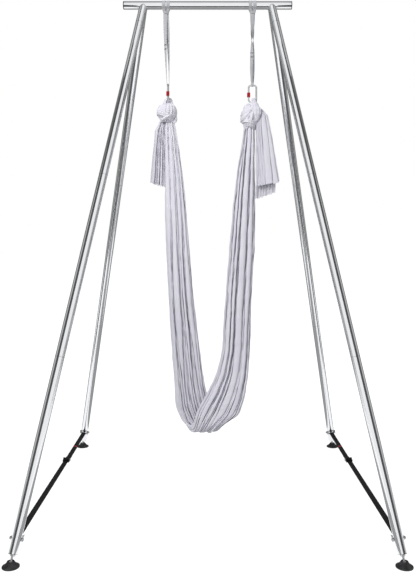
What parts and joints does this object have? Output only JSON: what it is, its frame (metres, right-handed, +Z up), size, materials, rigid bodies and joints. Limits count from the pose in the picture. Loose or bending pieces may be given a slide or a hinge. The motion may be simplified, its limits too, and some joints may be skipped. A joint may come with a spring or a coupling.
{
  "type": "aerial rig",
  "caption": "Free-standing aerial rig: sloping sectioned tube legs under a round top bar, side straps, levelling feet, and a gathered silk hammock knotted to carabiners on slings.",
  "frame": {"origin": "on the floor under the middle of the top bar", "axes": "+X along the top bar to the right seen from the front, -Y to the front, +Z up"},
  "size_m": [1.912, 1.898, 2.9525],
  "materials": {
    "chromed_tube": "bright chromed steel tube",
    "polished_steel": "polished steel",
    "steel_hardware": "bright zinc-plated steel",
    "red_anodised": "red anodised, fine ribs",
    "black_plastic": "moulded, slight grain",
    "black_rubber": "moulded rubber",
    "black_webbing": "flat woven webbing",
    "red_fabric": "woven tab",
    "grey_webbing": "flat woven webbing with bar-tack stitching",
    "pale_silk": "fine satin knit with a slight lavender cast"
  },
  "bodies": {
    "stand": {"top_bar": "chromed_tube", "left_bar_cap": "black_plastic", "right_bar_cap": "black_plastic", "front_left_upper_tube": "chromed_tube", "front_left_middle_tube": "chromed_tube", "front_left_lower_tube": "chromed_tube", "front_left_shackle": "steel_hardware", "front_left_end_plug": "black_plastic", "front_right_upper_tube": "chromed_tube", "front_right_middle_tube": "chromed_tube", "front_right_lower_tube": "chromed_tube", "front_right_shackle": "steel_hardware", "front_right_end_plug": "black_plastic", "back_left_upper_tube": "chromed_tube", "back_left_middle_tube": "chromed_tube", "back_left_lower_tube": "chromed_tube", "back_left_shackle": "steel_hardware", "back_left_end_plug": "black_plastic", "back_right_upper_tube": "chromed_tube", "back_right_middle_tube": "chromed_tube", "back_right_lower_tube": "chromed_tube", "back_right_shackle": "steel_hardware", "back_right_end_plug": "black_plastic", "cross_bolts": "steel_hardware", "cross_nuts": "steel_hardware", "lock_nuts": "steel_hardware", "buckle_pins": "steel_hardware", "strap_tabs": "red_fabric", "left_anchor_strap": "black_webbing", "left_long_strap": "black_webbing", "left_buckle_frame": "steel_hardware", "right_anchor_strap": "black_webbing", "right_long_strap": "black_webbing", "right_buckle_frame": "steel_hardware"},
    "swing": {"left_sling": "grey_webbing", "left_carabiner_body": "polished_steel", "left_silk_knot": "pale_silk", "left_silk_tail": "pale_silk", "right_sling": "grey_webbing", "right_carabiner_body": "polished_steel", "right_silk_knot": "pale_silk", "right_silk_tail": "pale_silk", "gate_rivets": "polished_steel", "silk_hammock": "pale_silk"},
    "left_gate": {"left_carabiner_gate": "polished_steel"},
    "left_sleeve": {"left_locking_sleeve": "red_anodised"},
    "left_lever": {"left_buckle_lever": "steel_hardware"},
    "right_gate": {"right_carabiner_gate": "polished_steel"},
    "right_sleeve": {"right_locking_sleeve": "red_anodised"},
    "right_lever": {"right_buckle_lever": "steel_hardware"},
    "front_left_stem": {"front_left_foot_stem": "steel_hardware"},
    "front_left_pad": {"front_left_foot_pad": "black_rubber"},
    "front_right_stem": {"front_right_foot_stem": "steel_hardware"},
    "front_right_pad": {"front_right_foot_pad": "black_rubber"},
    "back_left_stem": {"back_left_foot_stem": "steel_hardware"},
    "back_left_pad": {"back_left_foot_pad": "black_rubber"},
    "back_right_stem": {"back_right_foot_stem": "steel_hardware"},
    "back_right_pad": {"back_right_foot_pad": "black_rubber"}
  },
  "joints": [
    {"name": "swing_pivot", "type": "hinge", "parent": "stand", "child": "swing", "pos_m": [0, 0, 2.925], "axis": [1, 0, 0], "range_deg": [-45, 45]},
    {"name": "left_gate_hinge", "type": "hinge", "parent": "swing", "child": "left_gate", "pos_m": [-0.237, -0.023, 2.3691], "axis": [-1, 0, 0], "range_deg": [0, 25], "stiffness_Nm_per_rad": 0.4, "springref_deg": -17.19},
    {"name": "left_sleeve_slide", "type": "slide", "parent": "left_gate", "child": "left_sleeve", "axis": [0, 0, 1], "range_m": [0, 0.025]},
    {"name": "left_lever_hinge", "type": "hinge", "parent": "stand", "child": "left_lever", "pos_m": [-0.89561, 0.245, 0.12587], "axis": [0.9836, 0, -0.1801], "range_deg": [0, 25], "stiffness_Nm_per_rad": 0.3, "springref_deg": -28.65},
    {"name": "right_gate_hinge", "type": "hinge", "parent": "swing", "child": "right_gate", "pos_m": [0.246, 0, 2.3661], "axis": [0, 1, 0], "range_deg": [0, 25], "stiffness_Nm_per_rad": 0.4, "springref_deg": -17.19},
    {"name": "right_sleeve_slide", "type": "slide", "parent": "right_gate", "child": "right_sleeve", "axis": [0, 0, 1], "range_m": [0, 0.025]},
    {"name": "right_lever_hinge", "type": "hinge", "parent": "stand", "child": "right_lever", "pos_m": [0.89561, 0.245, 0.12587], "axis": [0.9836, 0, 0.1801], "range_deg": [0, 25], "stiffness_Nm_per_rad": 0.3, "springref_deg": -28.65},
    {"name": "front_left_stem_screw", "type": "slide", "parent": "stand", "child": "front_left_stem", "axis": [-0.1722, -0.2939, -0.9402], "range_m": [0, 0.02]},
    {"name": "front_left_pad_tilt", "type": "hinge", "parent": "front_left_stem", "child": "front_left_pad", "pos_m": [-0.915, -0.908, 0.02], "axis": [0.8628, -0.5055, 0], "range_deg": [-12, 12]},
    {"name": "front_right_stem_screw", "type": "slide", "parent": "stand", "child": "front_right_stem", "axis": [0.1722, -0.2939, -0.9402], "range_m": [0, 0.02]},
    {"name": "front_right_pad_tilt", "type": "hinge", "parent": "front_right_stem", "child": "front_right_pad", "pos_m": [0.915, -0.908, 0.02], "axis": [0.8628, 0.5055, 0], "range_deg": [-12, 12]},
    {"name": "back_left_stem_screw", "type": "slide", "parent": "stand", "child": "back_left_stem", "axis": [-0.1722, 0.2939, -0.9402], "range_m": [0, 0.02]},
    {"name": "back_left_pad_tilt", "type": "hinge", "parent": "back_left_stem", "child": "back_left_pad", "pos_m": [-0.915, 0.908, 0.02], "axis": [-0.8628, -0.5055, 0], "range_deg": [-12, 12]},
    {"name": "back_right_stem_screw", "type": "slide", "parent": "stand", "child": "back_right_stem", "axis": [0.1722, 0.2939, -0.9402], "range_m": [0, 0.02]},
    {"name": "back_right_pad_tilt", "type": "hinge", "parent": "back_right_stem", "child": "back_right_pad", "pos_m": [0.915, 0.908, 0.02], "axis": [-0.8628, 0.5055, 0], "range_deg": [-12, 12]}
  ]
}
